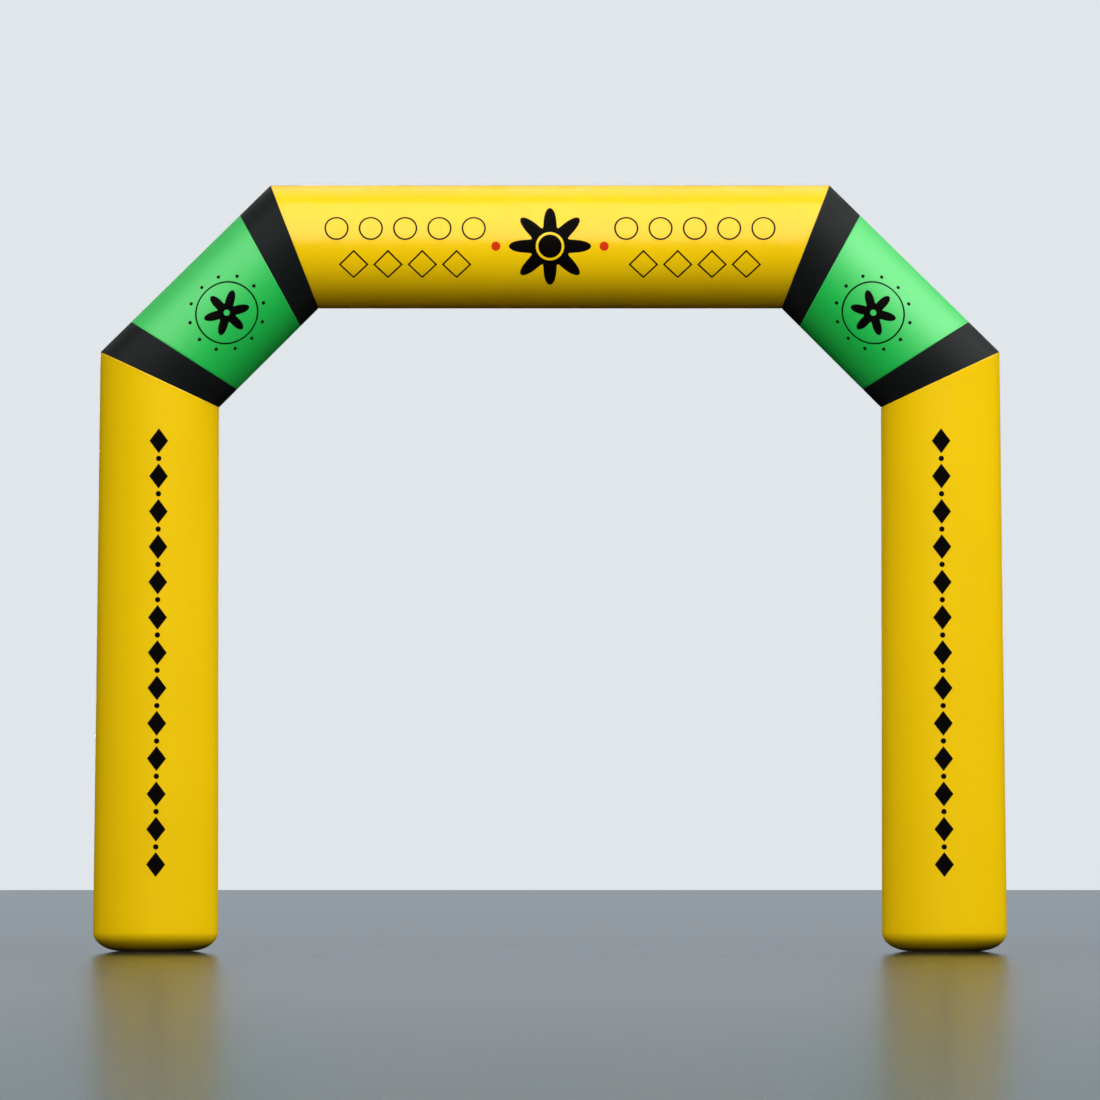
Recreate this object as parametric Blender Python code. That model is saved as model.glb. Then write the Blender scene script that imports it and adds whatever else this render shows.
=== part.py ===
"""Inflatable arch: one air-filled tube of coated cloth that stands on two rounded feet.

Metres, +Z up. The span runs along X and the tube's depth along Y. The origin is on the ground,
midway between the feet. The tube bends at four mitred seams: a knee on top of each leg, and a
crown at each end of the level header. Each length of cloth is a filled solid of its own.
"""

import math
from collections import namedtuple

import bmesh
import bpy
from mathutils import Matrix, Vector

# A flat cut across the tube: its point on the arch's outer outline, its point on the inner
# outline (both X and Z, on the +X half), and half of the tube's depth along Y there.
Cut = namedtuple("Cut", "outer_x outer_z inner_x inner_z half_depth")

# The foot is a flat disc with a round edge that is a quarter of an ellipse.
FOOT_DIAMETER = 0.820
FOOT_OUTER_X = 3.000
FOOT_INNER_X = FOOT_OUTER_X - FOOT_DIAMETER
FOOT_ROUND_HEIGHT = 0.125
FOOT_ROUND_REACH = 0.185
FOOT_STEPS = 8

# The cuts that the cloth is sewn at, from the foot up to the header.
FOOT = Cut(FOOT_OUTER_X, FOOT_ROUND_HEIGHT, FOOT_INNER_X, FOOT_ROUND_HEIGHT, FOOT_DIAMETER / 2)
KNEE = Cut(outer_x=2.951, outer_z=3.933, inner_x=2.173, inner_z=3.569, half_depth=0.395)
CROWN = Cut(outer_x=1.835, outer_z=5.027, inner_x=1.521, inner_z=4.219, half_depth=0.402)
BAND_SHARE = 0.18  # a band's share of the sloping length between knee and crown

# Air pressure rounds each panel down into its seams, so a groove runs around the tube there.
SEAM_GAP = 0.0003
SEAM_DEPTH = 0.006
SEAM_REACH = 0.014
SEAM_STEPS = 3

TUBE_SIDES = 56
SHARP_ANGLE = math.radians(40)

YELLOW = (0.871, 0.546, 0.004)
GREEN = (0.045, 0.520, 0.085)
BLACK = (0.012, 0.012, 0.014)
CLOTH_ROUGHNESS = 0.45


def clear_scene():
    for old in list(bpy.data.objects):
        bpy.data.objects.remove(old, do_unlink=True)


def cloth(name, colour):
    material = bpy.data.materials.new(name)
    material.use_nodes = True
    shader = material.node_tree.nodes["Principled BSDF"]
    shader.inputs["Base Color"].default_value = (*colour, 1.0)
    shader.inputs["Roughness"].default_value = CLOTH_ROUGHNESS
    shader.inputs["Metallic"].default_value = 0.0
    return material


def between(low, high, share):
    """The cut at a share of the way along the straight tube from one cut to another."""
    return Cut(*(a + (b - a) * share for a, b in zip(low, high)))


def on_side(cut, side):
    """The same cut on the +X half (side 1) or the -X half (side -1)."""
    return cut._replace(outer_x=side * cut.outer_x, inner_x=side * cut.inner_x)


def outline_points(cut):
    return Vector((cut.outer_x, 0, cut.outer_z)), Vector((cut.inner_x, 0, cut.inner_z))


def ring(outer, inner, half_depth):
    """The matrix that turns a unit circle into the ellipse through the two outline points."""
    across = (outer - inner) / 2
    depth = Vector((0, half_depth, 0))
    normal = across.cross(depth).normalized()
    matrix = Matrix((across, depth, normal)).transposed().to_4x4()
    matrix.translation = (outer + inner) / 2
    return matrix


def drawn_in_end(cut, far_cut):
    """Rings of a panel's end at a seam, from its flat face on to where the tube is full."""
    outer, inner = outline_points(cut)
    far_outer, far_inner = outline_points(far_cut)
    across = (outer - inner).normalized()
    normal = across.cross(Vector((0, 1, 0)))
    outer_step = (far_outer - outer) / abs((far_outer - outer).dot(normal))
    inner_step = (far_inner - inner) / abs((far_inner - inner).dot(normal))
    rings = []
    for step in range(SEAM_STEPS + 1):
        turn = math.pi / 2 * step / SEAM_STEPS
        distance = SEAM_GAP / 2 + SEAM_REACH * (1 - math.cos(turn))
        shrink = SEAM_DEPTH * (1 - math.sin(turn))
        rings.append(ring(
            outer + outer_step * distance - across * shrink,
            inner + inner_step * distance + across * shrink,
            cut.half_depth - shrink,
        ))
    return rings


def rounded_foot(foot):
    """Level rings from the flat disc on the ground up to the leg's full width."""
    outer, inner = outline_points(foot)
    across = (outer - inner).normalized()
    rings = []
    for step in range(FOOT_STEPS + 1):
        turn = math.pi / 2 * step / FOOT_STEPS
        drop = Vector((0, 0, FOOT_ROUND_HEIGHT * math.cos(turn)))
        inset = FOOT_ROUND_REACH * (1 - math.sin(turn))
        rings.append(ring(
            outer - drop - across * inset,
            inner - drop + across * inset,
            foot.half_depth - inset,
        ))
    return rings


def loft(rings):
    """One closed solid: a capped circle, drawn out from ring to ring and capped again."""
    bm = bmesh.new()
    bmesh.ops.create_circle(bm, cap_ends=True, segments=TUBE_SIDES, radius=1.0, matrix=rings[0])
    edges = list(bm.edges)
    for before, after in zip(rings, rings[1:]):
        grown = bmesh.ops.extrude_edge_only(bm, edges=edges)["geom"]
        verts = [item for item in grown if isinstance(item, bmesh.types.BMVert)]
        bmesh.ops.transform(bm, matrix=after @ before.inverted(), verts=verts)
        tips = set(verts)
        edges = [
            item for item in grown
            if isinstance(item, bmesh.types.BMEdge) and tips.issuperset(item.verts)
        ]
    bmesh.ops.contextual_create(bm, geom=edges)
    bmesh.ops.recalc_face_normals(bm, faces=bm.faces)
    return bm


def add_panel(name, rings, material, arch):
    """An object of the panel's own, with its origin halfway along the panel."""
    middle = (rings[0].translation + rings[-1].translation) / 2
    bm = loft(rings)
    bmesh.ops.translate(bm, verts=bm.verts, vec=-middle)
    mesh = bpy.data.meshes.new(name)
    bm.to_mesh(mesh)
    bm.free()
    mesh.shade_smooth()
    mesh.set_sharp_from_angle(angle=SHARP_ANGLE)
    mesh.materials.append(material)
    panel = bpy.data.objects.new(name, mesh)
    bpy.context.collection.objects.link(panel)
    panel.parent = arch
    panel.location = middle


def add_tube(name, start, end, material, arch):
    """A length of tube that is sewn to a neighbour at both ends."""
    rings = drawn_in_end(start, end) + drawn_in_end(end, start)[::-1]
    add_panel(name, rings, material, arch)


def add_leg(name, foot, knee, material, arch):
    rings = rounded_foot(foot) + drawn_in_end(knee, foot)[::-1]
    add_panel(name, rings, material, arch)


def build_arch():
    arch = bpy.data.objects.new("arch", None)
    bpy.context.collection.objects.link(arch)
    yellow = cloth("yellow_cloth", YELLOW)
    green = cloth("green_cloth", GREEN)
    black = cloth("black_cloth", BLACK)
    for word, side in (("left", -1), ("right", 1)):
        foot, knee, crown = (on_side(cut, side) for cut in (FOOT, KNEE, CROWN))
        low = between(knee, crown, BAND_SHARE)
        high = between(knee, crown, 1 - BAND_SHARE)
        add_leg(f"leg_{word}", foot, knee, yellow, arch)
        add_tube(f"knee_band_{word}", knee, low, black, arch)
        add_tube(f"shoulder_panel_{word}", low, high, green, arch)
        add_tube(f"crown_band_{word}", high, crown, black, arch)
    add_tube("header", on_side(CROWN, -1), CROWN, yellow, arch)


clear_scene()
build_arch()
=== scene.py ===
import math
from collections import namedtuple

import bmesh
import bpy
from mathutils import Matrix, Vector, noise


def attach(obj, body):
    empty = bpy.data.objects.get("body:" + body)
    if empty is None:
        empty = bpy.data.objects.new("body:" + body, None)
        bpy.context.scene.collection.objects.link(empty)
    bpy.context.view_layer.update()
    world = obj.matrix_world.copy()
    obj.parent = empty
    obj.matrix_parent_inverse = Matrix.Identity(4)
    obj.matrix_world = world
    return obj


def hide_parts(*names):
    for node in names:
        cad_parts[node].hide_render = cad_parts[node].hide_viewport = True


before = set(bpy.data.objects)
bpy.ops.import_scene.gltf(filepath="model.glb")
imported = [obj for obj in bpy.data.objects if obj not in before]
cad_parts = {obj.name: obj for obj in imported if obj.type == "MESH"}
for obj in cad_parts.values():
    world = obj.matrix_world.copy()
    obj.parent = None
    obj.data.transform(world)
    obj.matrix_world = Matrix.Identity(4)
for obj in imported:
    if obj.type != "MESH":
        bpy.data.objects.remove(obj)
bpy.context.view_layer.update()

# ---- The view ---------------------------------------------------------------------------------
# The photograph looks level at the arch from so far off that nothing converges, and its mitre
# seams are straight lines. So a very long lens stands far away, with the floor almost edge on.
PHOTO_SIZE = 1100
PIXELS_PER_METRE = 152.3
GROUND_ROW = 951
FLOOR_EDGE_ROW = 890
CAMERA_DISTANCE = 300.0
CAMERA_HEIGHT = 1.2
SENSOR_WIDTH = 36.0


def height_at_row(row):
    """The height, in the arch's own plane, that a pixel row of the photograph shows."""
    return (GROUND_ROW - row) / PIXELS_PER_METRE


def put_in_scene(name, data):
    made = bpy.data.objects.new(name, data)
    bpy.context.collection.objects.link(made)
    return made


lens = bpy.data.cameras.new("camera")
lens.sensor_width = SENSOR_WIDTH
lens.lens = SENSOR_WIDTH * CAMERA_DISTANCE * PIXELS_PER_METRE / PHOTO_SIZE
lens.clip_end = 2 * CAMERA_DISTANCE
camera = put_in_scene("camera", lens)
camera.location = (0, -CAMERA_DISTANCE, CAMERA_HEIGHT)
aim = Vector((0, 0, height_at_row(PHOTO_SIZE / 2)))
camera.rotation_euler = (aim - camera.location).to_track_quat("-Z", "Y").to_euler()
bpy.context.scene.camera = camera

# ---- The legs ---------------------------------------------------------------------------------
# Each leg is an upright tube of yellow coated polyester, cut square for its rounded foot and on
# the slant for the knee, where it is sewn to a black band. Air holds it round and tight.
SIDES = (("left", -1), ("right", 1))
Cut = namedtuple("Cut", "outer_x outer_z inner_x inner_z half_depth")
FOOT = Cut(outer_x=3.000, outer_z=0.125, inner_x=2.180, inner_z=0.125, half_depth=0.410)
KNEE = Cut(outer_x=2.951, outer_z=3.933, inner_x=2.173, inner_z=3.569, half_depth=0.395)
FOOT_ROUND_REACH = 0.185
FOOT_STEPS = 20

SEAM_GAP = 0.00002     # between two panels' flat end faces, too thin to see through
SEAM_DEPTH = 0.0025    # how far the pressed cloth rounds down into its seam
SEAM_REACH = 0.006
LIP_STEPS = 5
PUCKER_ZONE = 0.110    # how far from a seam its small puckers fade out
PUCKER_MOST = 0.4      # the most of a panel's shorter side that the zone takes
PUCKER_STEPS = 8
PUCKER_CROWDING = 1.5  # above 1 sets the zone's rings closer together near the seam
PUCKER_DEPTH = 0.0007
PUCKER_WIDTH = 0.030
PLAIN_STEP = 0.100
TUBE_SIDES = 192
TUBE_RADIUS = 0.400
SHARP_EDGE = math.radians(40)

Ring = namedtuple("Ring", "outer inner half_depth from_seam")


def on_side(cut, side):
    """The same cut on the +X half (side 1) or the -X half (side -1) of the arch."""
    return cut._replace(outer_x=side * cut.outer_x, inner_x=side * cut.inner_x)


def outline_points(cut):
    return Vector((cut.outer_x, 0, cut.outer_z)), Vector((cut.inner_x, 0, cut.inner_z))


def centre_of(cut):
    return sum(outline_points(cut), Vector()) / 2


def ring_matrix(ring):
    """Turns a unit circle into the ellipse through the ring's outer and inner points."""
    across = (ring.outer - ring.inner) / 2
    depth = Vector((0, ring.half_depth, 0))
    normal = across.cross(depth).normalized()
    matrix = Matrix((across, depth, normal)).transposed().to_4x4()
    matrix.translation = (ring.outer + ring.inner) / 2
    return matrix


def ring_from_seam(cut, far_cut, distance, shrink=0.0):
    """A ring of the panel between two cuts, parallel to the first and a distance away from it."""
    outer, inner = outline_points(cut)
    far_outer, far_inner = outline_points(far_cut)
    across = (outer - inner).normalized()
    normal = across.cross(Vector((0, 1, 0)))
    outer_run = far_outer - outer
    inner_run = far_inner - inner
    outer = outer + outer_run * (distance / abs(outer_run.dot(normal))) - across * shrink
    inner = inner + inner_run * (distance / abs(inner_run.dot(normal))) + across * shrink
    return Ring(outer, inner, cut.half_depth - shrink, distance)


def seam_rings(cut, far_cut):
    """A panel's end: flat face, rounded lip, then the puckered zone."""
    rings = []
    for step in range(LIP_STEPS + 1):
        turn = math.pi / 2 * step / LIP_STEPS
        distance = SEAM_GAP / 2 + SEAM_REACH * (1 - math.cos(turn))
        rings.append(ring_from_seam(cut, far_cut, distance, SEAM_DEPTH * (1 - math.sin(turn))))
    shortest = (outline_points(cut)[1] - outline_points(far_cut)[1]).length
    zone = min(PUCKER_ZONE, PUCKER_MOST * shortest)
    for step in range(1, PUCKER_STEPS + 1):
        share = (step / PUCKER_STEPS) ** PUCKER_CROWDING
        rings.append(ring_from_seam(cut, far_cut, SEAM_REACH + (zone - SEAM_REACH) * share))
    return rings


def rings_between(low, high):
    """Plain rings that fill the stretch between two ends of a panel."""
    longest = (high.outer - low.outer).length
    count = max(2, round(longest / PLAIN_STEP))
    rings = []
    for step in range(1, count):
        share = step / count
        rings.append(Ring(
            low.outer.lerp(high.outer, share),
            low.inner.lerp(high.inner, share),
            low.half_depth + (high.half_depth - low.half_depth) * share,
            PUCKER_ZONE,
        ))
    return rings


def foot_rings(foot):
    """Level rings from the flat disc on the ground up over the foot's elliptical edge."""
    outer, inner = outline_points(foot)
    across = (outer - inner).normalized()
    rings = []
    for step in range(FOOT_STEPS + 1):
        turn = math.pi / 2 * step / FOOT_STEPS
        drop = Vector((0, 0, foot.outer_z * math.cos(turn)))
        inset = FOOT_ROUND_REACH * (1 - math.sin(turn))
        rings.append(Ring(
            outer - drop - across * inset,
            inner - drop + across * inset,
            foot.half_depth - inset,
            PUCKER_ZONE,
        ))
    return rings


def pucker(direction, from_seam):
    """How far in the cloth is gathered, in a direction out from the tube's middle."""
    fade = max(0.0, 1 - from_seam / PUCKER_ZONE) ** 2
    around = noise.noise(direction * TUBE_RADIUS / PUCKER_WIDTH)
    return PUCKER_DEPTH * fade * (0.5 + around)


def loft(rings):
    """One closed tube: a capped circle, drawn out from ring to ring and capped again."""
    bm = bmesh.new()
    seam_layer = bm.verts.layers.float.new("from_seam")
    matrices = [ring_matrix(ring) for ring in rings]
    first = bmesh.ops.create_circle(
        bm, cap_ends=True, segments=TUBE_SIDES, radius=1.0, matrix=matrices[0])["verts"]
    edges = list(bm.edges)
    ring_verts = [first]
    for before, after in zip(matrices, matrices[1:]):
        grown = bmesh.ops.extrude_edge_only(bm, edges=edges)["geom"]
        verts = [item for item in grown if isinstance(item, bmesh.types.BMVert)]
        bmesh.ops.transform(bm, matrix=after @ before.inverted(), verts=verts)
        tips = set(verts)
        edges = [
            item for item in grown
            if isinstance(item, bmesh.types.BMEdge) and tips.issuperset(item.verts)
        ]
        ring_verts.append(verts)
    bmesh.ops.contextual_create(bm, geom=edges)
    bmesh.ops.recalc_face_normals(bm, faces=bm.faces)
    for ring, matrix, verts in zip(rings, matrices, ring_verts):
        for vert in verts:
            direction = (vert.co - matrix.translation).normalized()
            vert.co -= direction * pucker(direction, ring.from_seam)
            vert[seam_layer] = ring.from_seam
    return bm


def lay_cloth_map(bm, low, high):
    """UV map in metres: u runs round the tube from its front line, v along it from the low end."""
    axis = (high - low).normalized()
    side = Vector((0, 1, 0)).cross(axis)
    cloth_map = bm.loops.layers.uv.new("cloth")

    def turn_of(point):
        out = point - low
        return math.atan2(out.dot(side), -out.y)

    for face in bm.faces:
        middle = turn_of(face.calc_center_median())
        for loop in face.loops:
            turn = turn_of(loop.vert.co)
            turn -= 2 * math.pi * round((turn - middle) / (2 * math.pi))
            loop[cloth_map].uv = (turn * TUBE_RADIUS, (loop.vert.co - low).dot(axis))


def finished_mesh(name, bm, material):
    mesh = bpy.data.meshes.new(name)
    bm.to_mesh(mesh)
    bm.free()
    mesh.materials.append(material)
    return mesh


def show_panel(name, rings, low, high, material, node):
    """Makes the panel's object, which stands for its CAD node, and hides that node."""
    bm = loft(rings)
    lay_cloth_map(bm, low, high)
    mesh = finished_mesh(name, bm, material)
    mesh.shade_smooth()
    mesh.set_sharp_from_angle(angle=SHARP_EDGE)
    panel = put_in_scene(name, mesh)
    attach(panel, "root")
    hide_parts(node)


class Wire:
    """A node socket that Python's operators join into Math nodes."""

    def __init__(self, tree, end=None):
        self.tree = tree
        self.end = end

    def node(self, kind, settings=None, inputs=None, output=0):
        """A new node in the same tree, as the Wire that leaves it."""
        made = self.tree.nodes.new("ShaderNode" + kind)
        for name, value in (settings or {}).items():
            setattr(made, name, value)
        for name, value in (inputs or {}).items():
            if isinstance(value, Wire):
                self.tree.links.new(value.end, made.inputs[name])
            else:
                made.inputs[name].default_value = value
        return Wire(self.tree, made.outputs[output])

    def math(self, operation, *others, clamp=False):
        """A Math node on this value and the others, in that order."""
        settings = {"operation": operation, "use_clamp": clamp}
        return self.node("Math", settings, dict(enumerate((self, *others))))

    def mix(self, base, top):
        """The colour base where this mask is 0, and top where it is 1."""
        return self.node("Mix", {"data_type": "RGBA"}, {0: self, 6: base, 7: top}, output=2)

    def feed(self, socket):
        self.tree.links.new(self.end, socket)

    def __add__(self, other):
        return self.math("ADD", other)

    def __sub__(self, other):
        return self.math("SUBTRACT", other)

    def __mul__(self, other):
        return self.math("MULTIPLY", other)

    def __truediv__(self, other):
        return self.math("DIVIDE", other)

    def __neg__(self):
        return self.math("MULTIPLY", -1.0)

    def __rsub__(self, other):
        return -self + other

    def __abs__(self):
        return self.math("ABSOLUTE")

    __radd__ = __add__
    __rmul__ = __mul__


# Prints are shapes on the cloth map. Each is a distance in metres: below zero inside the shape.
PRINT_EDGE = 0.0015    # over how much cloth a print's edge goes from ink to none
INK_BLACK = (0.002, 0.0013, 0.0008, 1.0)
INK_GLOSS = 0.03
INK_ROUGHNESS = 0.5


def inked(distance):
    """1 inside a shape and 0 outside it."""
    return distance.math("MULTIPLY_ADD", -1 / PRINT_EDGE, 0.5, clamp=True)


def within(place, low, high):
    """1 between two places and 0 beyond them."""
    return inked(abs(place - (low + high) / 2) - (high - low) / 2)


def spread(across, along):
    """The distance from the point where both are zero."""
    return (across * across + along * along).math("SQRT")


def disc(across, along, radius):
    return spread(across, along) - radius


def lozenge(across, along, half_width, half_length):
    slope = half_width * half_length / math.hypot(half_width, half_length)
    return (abs(across) / half_width + abs(along) / half_length - 1.0) * slope


def line_round(distance, width):
    """Only the outline of a shape, as a line of a width."""
    return abs(distance) - width / 2


def from_nearest(place, pitch):
    """The distance to the nearest of the points that lie a pitch apart."""
    return place.math("PINGPONG", pitch / 2)


def rosette(across, along, petals, mean_radius, petal_rise):
    turn = along.math("ARCTAN2", across)
    return spread(across, along) - mean_radius - (turn * petals).math("COSINE") * petal_rise


WEAVE_PITCH = 0.0008
WEAVE_RISE = 0.000005
WAVE = 2 * math.pi / WEAVE_PITCH
ALLOWANCE = 0.022      # the doubled cloth beside a seam
ALLOWANCE_EDGE = 0.004
ALLOWANCE_RISE = 0.0003
CRUMPLE_SCALE = 14.0
CRUMPLE_RISE = 0.00012
MOTTLE_SCALE = 1.7
MOTTLE = 0.04          # how far the dye strays to both sides of its colour
SHEEN_SCALE = 9.0
SHEEN_SPREAD = 0.03
# Painted shade: the cloth's colour is darkened in a thin line along the crease of every seam. The
# painted closing stitches darken to the same share of the colour.
CREASE_HALF_WIDTH = 0.001
PAINTED_CREASE_SHADE_STRENGTH = 0.35
PAINTED_SHADE_AND_STITCH_SHARE = 0.4
CLOSING_SEAM = math.pi * TUBE_RADIUS     # it runs down the back of each panel
CLOSING_STITCH_PITCH = 0.008
CLOSING_STITCH_REACH = 0.0028            # half the length of a stitch
CLOSING_THREAD_RADIUS = 0.0005
CLOSING_STITCH_DEPTH = 0.0004
CLOSING_STITCH_DARKNESS = 0.5


# A share of a colour: used for the dye's own spread, for the thread's tones, and for the painted
# shade in the seams' creases.
def dye_and_shade_tint(colour, share):
    return tuple(share * part for part in colour) + (1.0,)


def coated_cloth(name, colour, gloss, roughness, prints=None):
    """Tight polyester with a thin shiny coat; prints(u, v) gives pairs of a mask and its ink."""
    material = bpy.data.materials.new(name)
    material.use_nodes = True
    shader = material.node_tree.nodes["Principled BSDF"]
    shader.inputs["Specular IOR Level"].default_value = gloss
    start = Wire(material.node_tree)
    uv = start.node("UVMap", {"uv_map": "cloth"})
    u = start.node("SeparateXYZ", {}, {"Vector": uv}, output="X")
    v = start.node("SeparateXYZ", {}, {"Vector": uv}, output="Y")
    place = start.node("TexCoord", output="Object")
    from_seam = start.node("Attribute", {"attribute_name": "from_seam"}, output="Fac")
    from_closing = CLOSING_SEAM - abs(u)
    from_any_seam = from_seam.math("MINIMUM", from_closing)

    mottle = start.node("TexNoise", {}, {"Vector": place, "Scale": MOTTLE_SCALE, "Detail": 4.0})
    paint = mottle.mix(dye_and_shade_tint(colour, 1 - MOTTLE), dye_and_shade_tint(colour, 1 + MOTTLE))
    # Painted shade: a thin dark line along every seam's crease, the sewn seams and the closing one
    # at the back alike.
    painted_crease_shade = inked(from_any_seam - CREASE_HALF_WIDTH)
    stitched = inked(abs(abs(from_closing - ALLOWANCE / 2) - ALLOWANCE / 4) - CLOSING_THREAD_RADIUS)
    stitched = stitched * inked(from_nearest(v, CLOSING_STITCH_PITCH) - CLOSING_STITCH_REACH)
    dark = (painted_crease_shade * PAINTED_CREASE_SHADE_STRENGTH).math("MAXIMUM", stitched * CLOSING_STITCH_DARKNESS)
    dark.mix(paint, dye_and_shade_tint(colour, PAINTED_SHADE_AND_STITCH_SHARE)).feed(shader.inputs["Base Color"])

    sheen = start.node("TexNoise", {}, {"Vector": place, "Scale": SHEEN_SCALE, "Detail": 3.0})
    (roughness - SHEEN_SPREAD / 2 + sheen * SHEEN_SPREAD).feed(shader.inputs["Roughness"])

    crumple = start.node("TexNoise", {}, {"Vector": place, "Scale": CRUMPLE_SCALE, "Detail": 2.0})
    weave = (u * WAVE).math("SINE") * (v * WAVE).math("SINE")
    doubled = start.node("MapRange", {"interpolation_type": "SMOOTHSTEP"}, {
        "Value": from_any_seam, "From Min": ALLOWANCE, "From Max": ALLOWANCE + ALLOWANCE_EDGE,
        "To Min": 1.0, "To Max": 0.0})
    height = crumple * CRUMPLE_RISE + weave * WEAVE_RISE + doubled * ALLOWANCE_RISE
    height = height - stitched * CLOSING_STITCH_DEPTH
    bump = start.node("Bump", {}, {"Height": height, "Strength": 1.0, "Distance": 1.0})
    bump.feed(shader.inputs["Normal"])
    if not prints:
        return material

    (inked_here, ink_paint), *more = prints(u, v)
    for mask, ink in more:
        ink_paint = mask.mix(ink_paint, ink)
        inked_here = inked_here.math("MAXIMUM", mask)
    ink_layer = start.node("BsdfPrincipled", {}, {
        "Base Color": ink_paint, "Roughness": INK_ROUGHNESS, "Specular IOR Level": INK_GLOSS,
        "Normal": bump})
    coat = Wire(material.node_tree, shader.outputs["BSDF"])
    printed = start.node("MixShader", {}, {0: inked_here, 1: coat, 2: ink_layer})
    printed.feed(material.node_tree.nodes["Material Output"].inputs["Surface"])
    return material


YELLOW = (0.87, 0.56, 0.002)
CLOTH_GLOSS = 0.5
CLOTH_ROUGHNESS = 0.25
LEG_PRINT_LOW = 0.486
LEG_PRINT_HIGH = 3.430
LEG_LOZENGES = 13
LEG_LOZENGE_WIDTH = 0.125
LEG_LOZENGE_LENGTH = 0.165
LEG_BEAD_RADIUS = 0.018


def leg_prints(u, v):
    """A column of black lozenges with a bead between each two."""
    pitch = (LEG_PRINT_HIGH - LEG_PRINT_LOW - LEG_LOZENGE_LENGTH) / (LEG_LOZENGES - 1)
    along = v - (LEG_PRINT_LOW + LEG_LOZENGE_LENGTH / 2)
    shapes = inked(lozenge(
        u, from_nearest(along, pitch), LEG_LOZENGE_WIDTH / 2, LEG_LOZENGE_LENGTH / 2))
    beads = inked(disc(u, from_nearest(along + pitch / 2, pitch), LEG_BEAD_RADIUS))
    column = within(v, LEG_PRINT_LOW, LEG_PRINT_HIGH)
    return [(shapes.math("MAXIMUM", beads) * column, INK_BLACK)]


leg_cloth = coated_cloth("leg_cloth", YELLOW, CLOTH_GLOSS, CLOTH_ROUGHNESS, leg_prints)

for word, side in SIDES:
    foot, knee = on_side(FOOT, side), on_side(KNEE, side)
    low_end = foot_rings(foot)
    high_end = seam_rings(knee, foot)[::-1]
    leg_rings = low_end + rings_between(low_end[-1], high_end[0]) + high_end
    show_panel(
        f"cloth_leg_{word}", leg_rings, centre_of(foot) * Vector((1, 0, 0)), centre_of(knee),
        leg_cloth, f"leg_{word}")

# ---- The knee and crown bands -----------------------------------------------------------------
# Short lengths of tube in black cloth, duller than the rest. One is sewn in at each end of each
# sloping shoulder, and its mitre to the leg or the header is what turns the corner.
CROWN = Cut(outer_x=1.835, outer_z=5.027, inner_x=1.521, inner_z=4.219, half_depth=0.402)
BAND_SHARE = 0.18      # a band's share of the sloping length between knee and crown
BLACK = (0.0070, 0.0084, 0.0088)
BLACK_GLOSS = 0.08
BLACK_ROUGHNESS = 0.45
black_cloth = coated_cloth("black_cloth", BLACK, BLACK_GLOSS, BLACK_ROUGHNESS)


def between(low, high, share):
    """The cut at a share of the way along the straight tube from one cut to another."""
    return Cut(*(a + (b - a) * share for a, b in zip(low, high)))


def shoulder_cuts(side):
    """The four seams of one shoulder: knee, low and high end of its green panel, crown."""
    knee, crown = on_side(KNEE, side), on_side(CROWN, side)
    return knee, between(knee, crown, BAND_SHARE), between(knee, crown, 1 - BAND_SHARE), crown


def sew_in(name, low, high, material, node):
    """A panel that is sewn to a neighbour at both of its cuts."""
    low_end = seam_rings(low, high)
    high_end = seam_rings(high, low)[::-1]
    rings = low_end + rings_between(low_end[-1], high_end[0]) + high_end
    show_panel(name, rings, centre_of(low), centre_of(high), material, node)


for word, side in SIDES:
    knee, low, high, crown = shoulder_cuts(side)
    sew_in(f"cloth_knee_band_{word}", knee, low, black_cloth, f"knee_band_{word}")
    sew_in(
        f"cloth_crown_band_{word}", high, crown, black_cloth, f"crown_band_{word}")

# ---- The shoulder panels ----------------------------------------------------------------------
# A sloping tube of light green coated cloth, sewn between the two bands of each shoulder along
# slanting seams, with a round print on its front.
GREEN = (0.004, 0.505, 0.068)
GREEN_GLOSS = 1.0
GREEN_ROUGHNESS = 0.51
SHOULDER_PETALS = 6
SHOULDER_FLOWER = 0.108     # the flower's mean radius, and how far its petals rise from it
SHOULDER_PETAL_RISE = 0.045
SHOULDER_EYE = 0.020
SHOULDER_RING = 0.205
SHOULDER_RING_WIDTH = 0.011
SHOULDER_DOTS = 12
SHOULDER_DOT_REACH = 0.250
SHOULDER_DOT_RADIUS = 0.012
shoulder_middle = (centre_of(KNEE) - centre_of(CROWN)).length * (1 - 2 * BAND_SHARE) / 2


def shoulder_prints(u, v):
    """A six-petalled rosette in a thin ring, with a dot for each hour round it."""
    along = v - shoulder_middle
    flower = inked(rosette(u, along, SHOULDER_PETALS, SHOULDER_FLOWER, SHOULDER_PETAL_RISE))
    eye = inked(disc(u, along, SHOULDER_EYE))
    ring = inked(line_round(disc(u, along, SHOULDER_RING), SHOULDER_RING_WIDTH))
    turn = along.math("ARCTAN2", u) * SHOULDER_DOT_REACH
    step = 2 * math.pi * SHOULDER_DOT_REACH / SHOULDER_DOTS
    dots = inked(disc(
        from_nearest(turn, step), spread(u, along) - SHOULDER_DOT_REACH, SHOULDER_DOT_RADIUS))
    return [((flower - eye).math("MAXIMUM", ring).math("MAXIMUM", dots), INK_BLACK)]


green_cloth = coated_cloth(
    "green_cloth", GREEN, GREEN_GLOSS, GREEN_ROUGHNESS, shoulder_prints)

for word, side in SIDES:
    knee, low, high, crown = shoulder_cuts(side)
    sew_in(
        f"cloth_shoulder_{word}", low, high, green_cloth, f"shoulder_panel_{word}")

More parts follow.
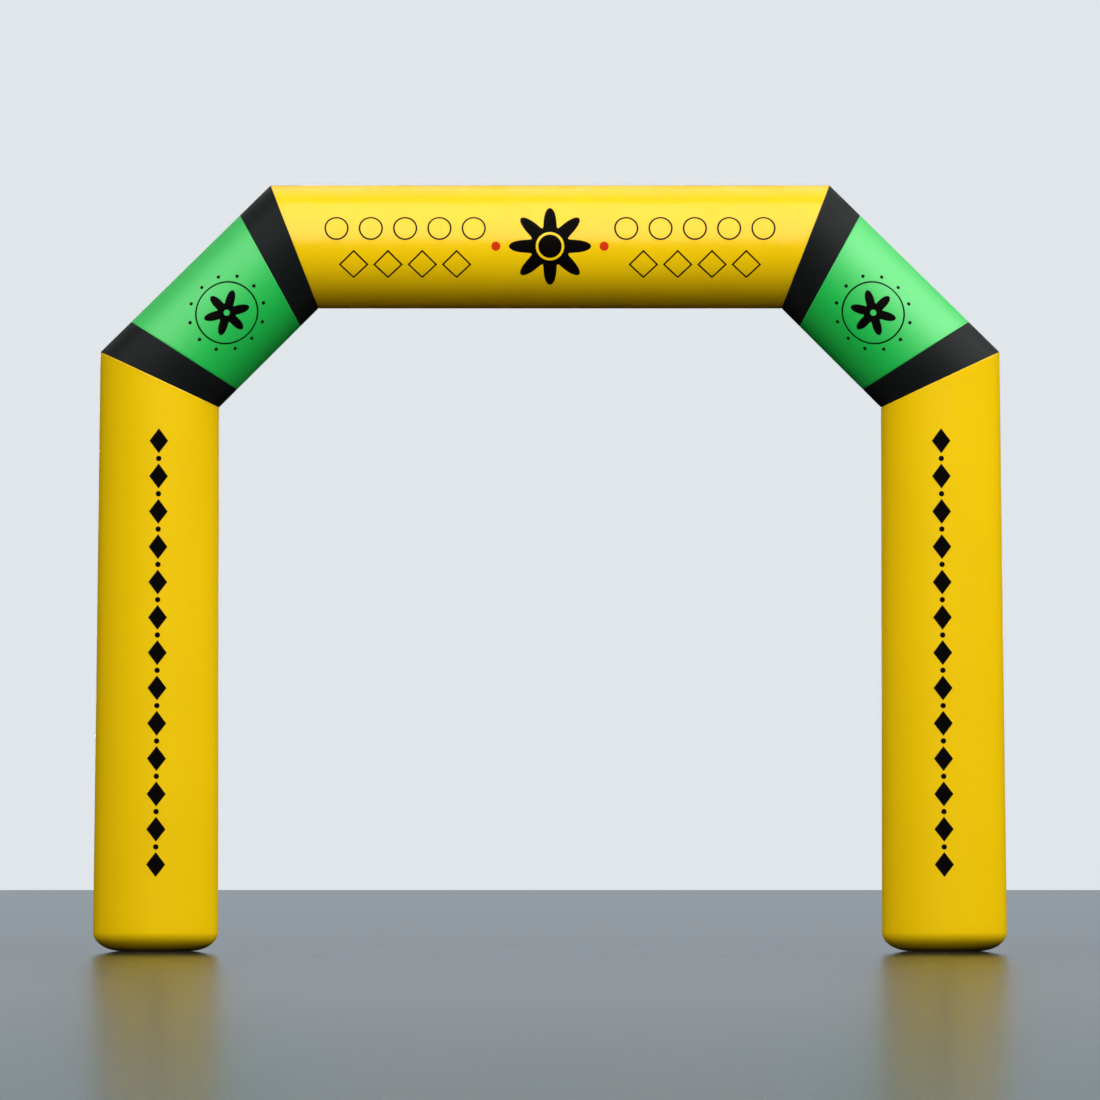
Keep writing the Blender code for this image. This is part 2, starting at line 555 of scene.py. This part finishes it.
# ---- The header -------------------------------------------------------------------------------
# A level tube of the legs' yellow cloth, sewn to the two crown bands on the slant. It carries the
# widest print, which lies along its front.
INK_RED = (0.60, 0.030, 0.004, 1.0)
HEADER_PETALS = 8
HEADER_FLOWER = 0.200
HEADER_PETAL_RISE = 0.070
HEADER_EYE_RING = 0.085
HEADER_EYE_RING_WIDTH = 0.016
HEADER_DOT_PLACE = 0.355
HEADER_DOT_RADIUS = 0.030
HEADER_PITCH = 0.225
HEADER_ROW = 0.120      # how far each row of shapes lies above or below the middle line
HEADER_FIRST = 0.500
HEADER_SHAPES = 5
HEADER_LINE = 0.011
HEADER_CIRCLE = 0.074   # its radius
HEADER_LOZENGE = 0.090  # from its middle to each of its corners
header_middle = centre_of(CROWN).x


def header_prints(u, v):
    """A black rosette in the middle, and on both sides two rows of outlined shapes."""
    along = v - header_middle
    flower = inked(rosette(u, along, HEADER_PETALS, HEADER_FLOWER, HEADER_PETAL_RISE))
    eye_ring = inked(line_round(disc(u, along, HEADER_EYE_RING), HEADER_EYE_RING_WIDTH))
    mirrored = abs(along)
    half_pitch = HEADER_PITCH / 2
    row_low = HEADER_FIRST - half_pitch
    row_high = row_low + HEADER_PITCH * HEADER_SHAPES
    circle_x = from_nearest(mirrored - HEADER_FIRST, HEADER_PITCH)
    circles = inked(line_round(disc(u + HEADER_ROW, circle_x, HEADER_CIRCLE), HEADER_LINE))
    circles = circles * within(mirrored, row_low, row_high)
    lozenge_x = from_nearest(mirrored - HEADER_FIRST - half_pitch, HEADER_PITCH)
    lozenges = inked(line_round(
        lozenge(u - HEADER_ROW, lozenge_x, HEADER_LOZENGE, HEADER_LOZENGE), HEADER_LINE))
    lozenges = lozenges * within(mirrored, row_low + half_pitch, row_high - half_pitch)
    black = (flower - eye_ring * flower).math("MAXIMUM", circles).math("MAXIMUM", lozenges)
    red = inked(disc(u, mirrored - HEADER_DOT_PLACE, HEADER_DOT_RADIUS))
    return [(black, INK_BLACK), (red, INK_RED)]


header_cloth = coated_cloth(
    "header_cloth", YELLOW, CLOTH_GLOSS, CLOTH_ROUGHNESS, header_prints)
sew_in("cloth_header", on_side(CROWN, -1), CROWN, header_cloth, "header")

# ---- The seams --------------------------------------------------------------------------------
# Each seam is held by two rows of stitches round the tube, through the lighter of its two cloths
# and the allowance that is turned in under it. The thread has the colour of the cloth.
STITCH_ROWS = (0.009, 0.016)
STITCH_PITCH = 0.008
STITCH_SIZE = Vector((0.0031, 0.00050, 0.00035))     # half lengths: along, across and up
THREAD_TWIST_SCALE = 900.0
THREAD_TWIST_RISE = 0.0001
THREAD_ROUGHNESS = 0.5
THREAD_SHADES = (0.55, 0.95)


def thread(name, colour):
    """Twisted polyester thread, a little darker than its cloth."""
    material = bpy.data.materials.new(name)
    material.use_nodes = True
    shader = material.node_tree.nodes["Principled BSDF"]
    start = Wire(material.node_tree)
    place = start.node("TexCoord", output="Object")
    twist = start.node("TexNoise", {}, {
        "Vector": place, "Scale": THREAD_TWIST_SCALE, "Detail": 1.0})
    dark, light = (dye_and_shade_tint(colour, share) for share in THREAD_SHADES)
    twist.mix(dark, light).feed(shader.inputs["Base Color"])
    shader.inputs["Roughness"].default_value = THREAD_ROUGHNESS
    bump = start.node("Bump", {}, {
        "Height": twist * THREAD_TWIST_RISE, "Strength": 1.0, "Distance": 1.0})
    bump.feed(shader.inputs["Normal"])
    return material


def sew_seam(name, cut, far_cut, material):
    """The stitches beside a cut, in the cloth that lies towards the far cut."""
    axis = (centre_of(far_cut) - centre_of(cut)).normalized()
    count = round(2 * math.pi * TUBE_RADIUS / STITCH_PITCH)
    bm = bmesh.new()
    for distance in STITCH_ROWS:
        matrix = ring_matrix(ring_from_seam(cut, far_cut, distance))
        ellipse = matrix.to_3x3()
        for step in range(count):
            turn = 2 * math.pi * step / count
            out = ellipse @ Vector((math.cos(turn), math.sin(turn), 0))
            along = (ellipse @ Vector((-math.sin(turn), math.cos(turn), 0))).normalized()
            up = along.cross(axis).normalized()
            up = up if up.dot(out) > 0 else -up
            place = Matrix((
                along * STITCH_SIZE.x,
                up.cross(along) * STITCH_SIZE.y,
                up * STITCH_SIZE.z,
            )).transposed().to_4x4()
            sunk = out.normalized() * pucker(out.normalized(), distance)
            place.translation = matrix.translation + out - sunk
            bmesh.ops.create_icosphere(bm, subdivisions=1, radius=1.0, matrix=place)
    mesh = finished_mesh(name, bm, material)
    mesh.shade_smooth()
    stitches = put_in_scene(name, mesh)
    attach(stitches, "root")


yellow_thread = thread("yellow_thread", YELLOW)
green_thread = thread("green_thread", GREEN)
for word, side in SIDES:
    knee, low, high, crown = shoulder_cuts(side)
    sew_seam(f"stitches_knee_{word}", knee, on_side(FOOT, side), yellow_thread)
    sew_seam(f"stitches_shoulder_low_{word}", low, high, green_thread)
    sew_seam(f"stitches_shoulder_high_{word}", high, low, green_thread)
    sew_seam(f"stitches_crown_{word}", crown, on_side(CROWN, -side), yellow_thread)

# ---- The floor, the light and the backdrop ----------------------------------------------------
# A wide, plain, polished studio floor with a soft lamp over it, an even pale backdrop, and large
# softboxes so far off that they light the whole arch alike. A small one hangs near its front.
edge_height = height_at_row(FLOOR_EDGE_ROW)
FLOOR_RADIUS = edge_height * CAMERA_DISTANCE / (CAMERA_HEIGHT - edge_height)
FLOOR_GLOSS = (0.415, 0.445, 0.470, 1.0)
# Painted shade on the floor: its gloss is darker beside the arch, and darker again far out in
# front.
FLOOR_PAINTED_SHADE_NEAR = (0.380, 0.408, 0.432, 1.0)
FLOOR_PAINTED_SHADE_FRONT = (0.335, 0.374, 0.392, 1.0)
FLOOR_PAINT = (0.55, 0.58, 0.61, 1.0)
FLOOR_POLISH_IOR = 1.45

# Where a ramp over the floor starts and ends, in metres, and its value at both places. The polish
# is finest beside the arch.
ROUGH_BESIDE = (2.3, 10.5, 0.055, 0.130)
ROUGH_FURTHER = (12.0, 30.0, 0.0, 0.024)
STREAK = (20.0, 130.0, 0.77, 0.57)
# These two ramps place the floor's painted shade: beside the arch, and far out in front.
PAINTED_SHADE_BESIDE = (3.0, 11.0, 0.0, 1.0)
PAINTED_SHADE_IN_FRONT = (-55.0, -130.0, 0.0, 1.0)


def stage_paint(name):
    """A new material with nothing wired yet: its first Wire, and the socket it has to reach."""
    material = bpy.data.materials.new(name)
    material.use_nodes = True
    tree = material.node_tree
    tree.nodes.remove(tree.nodes["Principled BSDF"])
    return material, Wire(tree), tree.nodes["Material Output"].inputs["Surface"]


floor_paint, floor_start, floor_surface = stage_paint("floor_paint")
floor_place = floor_start.node("TexCoord", output="Object")
floor_x = floor_start.node("SeparateXYZ", {}, {"Vector": floor_place}, output="X")
floor_y = floor_start.node("SeparateXYZ", {}, {"Vector": floor_place}, output="Y")
floor_reach = spread(floor_x, floor_y)


def floor_ramp(place, start, end, value_start, value_end):
    """A value that changes evenly between two places on the floor."""
    return floor_start.node("MapRange", {}, {
        "Value": place, "From Min": start, "From Max": end,
        "To Min": value_start, "To Max": value_end})


floor_rough = floor_ramp(floor_reach, *ROUGH_BESIDE) + floor_ramp(floor_reach, *ROUGH_FURTHER)
floor_streak = floor_ramp(floor_reach, *STREAK)
floor_way = floor_start.node("CombineXYZ", {}, {"Y": 1.0})
# Painted shade: the floor's gloss darkens around the arch and towards the front.
floor_tone_with_painted_shade = floor_ramp(floor_reach, *PAINTED_SHADE_BESIDE).mix(FLOOR_PAINTED_SHADE_NEAR, FLOOR_GLOSS)
floor_tone_with_painted_shade = floor_ramp(floor_y, *PAINTED_SHADE_IN_FRONT).mix(floor_tone_with_painted_shade, FLOOR_PAINTED_SHADE_FRONT)
floor_gloss = floor_start.node("BsdfGlossy", {}, {
    "Color": floor_tone_with_painted_shade, "Roughness": floor_rough, "Anisotropy": floor_streak,
    "Tangent": floor_way})
floor_matt = floor_start.node("BsdfDiffuse", {}, {"Color": FLOOR_PAINT})
polish = floor_start.node("Fresnel", {}, {"IOR": FLOOR_POLISH_IOR})
polished = floor_start.node("MixShader", {}, {0: polish, 1: floor_matt, 2: floor_gloss})
polished.feed(floor_surface)

floor_bm = bmesh.new()
bmesh.ops.create_circle(floor_bm, cap_ends=True, segments=128, radius=FLOOR_RADIUS)
floor = put_in_scene("floor", finished_mesh("floor", floor_bm, floor_paint))
floor.visible_diffuse = False
floor.visible_glossy = False

# The world gives the backdrop that the camera sees, and the dome gives the floor the same one.
BACKDROP = (0.753, 0.791, 0.823, 1.0)
UNDERNEATH = (0.07, 0.052, 0.035, 1.0)
BACKDROP_FOOT = {"From Min": -0.10, "From Max": -0.03}
DOME_SHARE = 1.2        # the dome's radius, as a share of the floor's
world = bpy.data.worlds.new("studio")
world.use_nodes = True
bpy.context.scene.world = world
sky_start = Wire(world.node_tree)
sky_way = sky_start.node("TexCoord", output="Generated")
sky_up = sky_start.node("SeparateXYZ", {}, {"Vector": sky_way}, output="Z")
above = sky_start.node("MapRange", {}, {"Value": sky_up, **BACKDROP_FOOT})
above.mix(UNDERNEATH, BACKDROP).feed(world.node_tree.nodes["Background"].inputs["Color"])
world.cycles_visibility.diffuse = False
world.cycles_visibility.glossy = False

dome_paint, dome_start, dome_surface = stage_paint("dome_paint")
dome_start.node("Emission", {}, {"Color": BACKDROP, "Strength": 1.0}).feed(dome_surface)
dome_paint.cycles.emission_sampling = "NONE"
dome_bm = bmesh.new()
bmesh.ops.create_uvsphere(dome_bm, u_segments=64, v_segments=32, radius=FLOOR_RADIUS * DOME_SHARE)
dome = put_in_scene("dome", finished_mesh("dome", dome_bm, dome_paint))
dome.visible_camera = False
dome.visible_diffuse = False
dome.visible_shadow = False
lit_floor = bpy.data.collections.new("lit_floor")
lit_floor.objects.link(floor)
dome.light_linking.receiver_collection = lit_floor

# The lamp over the floor lights nothing else, and the softboxes light all but the floor.
FLOOR_LIGHT = 2.3
FLOOR_LIGHT_SOFTNESS = math.radians(50)
FLOOR_LIGHT_TILT = (math.radians(20), math.radians(10), 0)
overhead = bpy.data.lights.new("overhead", "SUN")
overhead.energy = FLOOR_LIGHT
overhead.angle = FLOOR_LIGHT_SOFTNESS
overhead.cycles.use_multiple_importance_sampling = False
floor_lamp = put_in_scene("overhead", overhead)
floor_lamp.rotation_euler = FLOOR_LIGHT_TILT
floor_lamp.visible_glossy = False
floor_lamp.light_linking.receiver_collection = lit_floor

unlit_floor = bpy.data.collections.new("unlit_floor")
unlit_floor.objects.link(floor)
unlit_floor.collection_objects[0].light_linking.link_state = "EXCLUDE"

LIGHT_DISTANCE = 40.0
LIGHT_AIM = Vector((0, 0, 3.0))


def add_softbox(name, azimuth, elevation, width, height, radiance, fills=True, shines=True,
                distance=LIGHT_DISTANCE):
    """A softbox that faces the arch; azimuth 0 is the camera's side, and 90 is the arch's right.

    One that only fills lights the cloth's colour, and one that only shines gives it its gloss.
    """
    around, rise = math.radians(azimuth), math.radians(elevation)
    way = Vector((
        math.cos(rise) * math.sin(around),
        -math.cos(rise) * math.cos(around),
        math.sin(rise),
    ))
    light = bpy.data.lights.new(name, "AREA")
    light.shape = "RECTANGLE"
    light.size = width
    light.size_y = height
    light.energy = radiance * math.pi * width * height
    box = put_in_scene(name, light)
    box.location = LIGHT_AIM + way * distance
    box.rotation_euler = (-way).to_track_quat("-Z", "Y").to_euler()
    box.visible_camera = False
    box.visible_diffuse = fills
    box.visible_glossy = shines
    light.cycles.use_multiple_importance_sampling = fills and shines
    box.light_linking.receiver_collection = unlit_floor


add_softbox("front_gloss", 1.0, 50.5, 46.0, 62.0, 2.0, fills=False)
add_softbox("front_fill", -4.5, 25.5, 130.0, 43.0, 1.45, shines=False)
add_softbox("near_fill", 0.0, 25.0, 2.0, 5.0, 1.6, shines=False, distance=7.0)
add_softbox("right_softbox", 80.0, 35.0, 60.0, 8.0, 12.2)
add_softbox("left_softbox", -58.0, 42.0, 60.0, 8.0, 6.1)
add_softbox("back_fill", 173.0, 20.5, 90.0, 40.0, 2.5, shines=False)
add_softbox("back_gloss", 169.0, 47.0, 79.0, 40.0, 0.6, fills=False)
add_softbox("back_rim", 180.0, 6.0, 28.0, 12.0, 0.28, fills=False)

bpy.context.scene.view_settings.view_transform = "Standard"
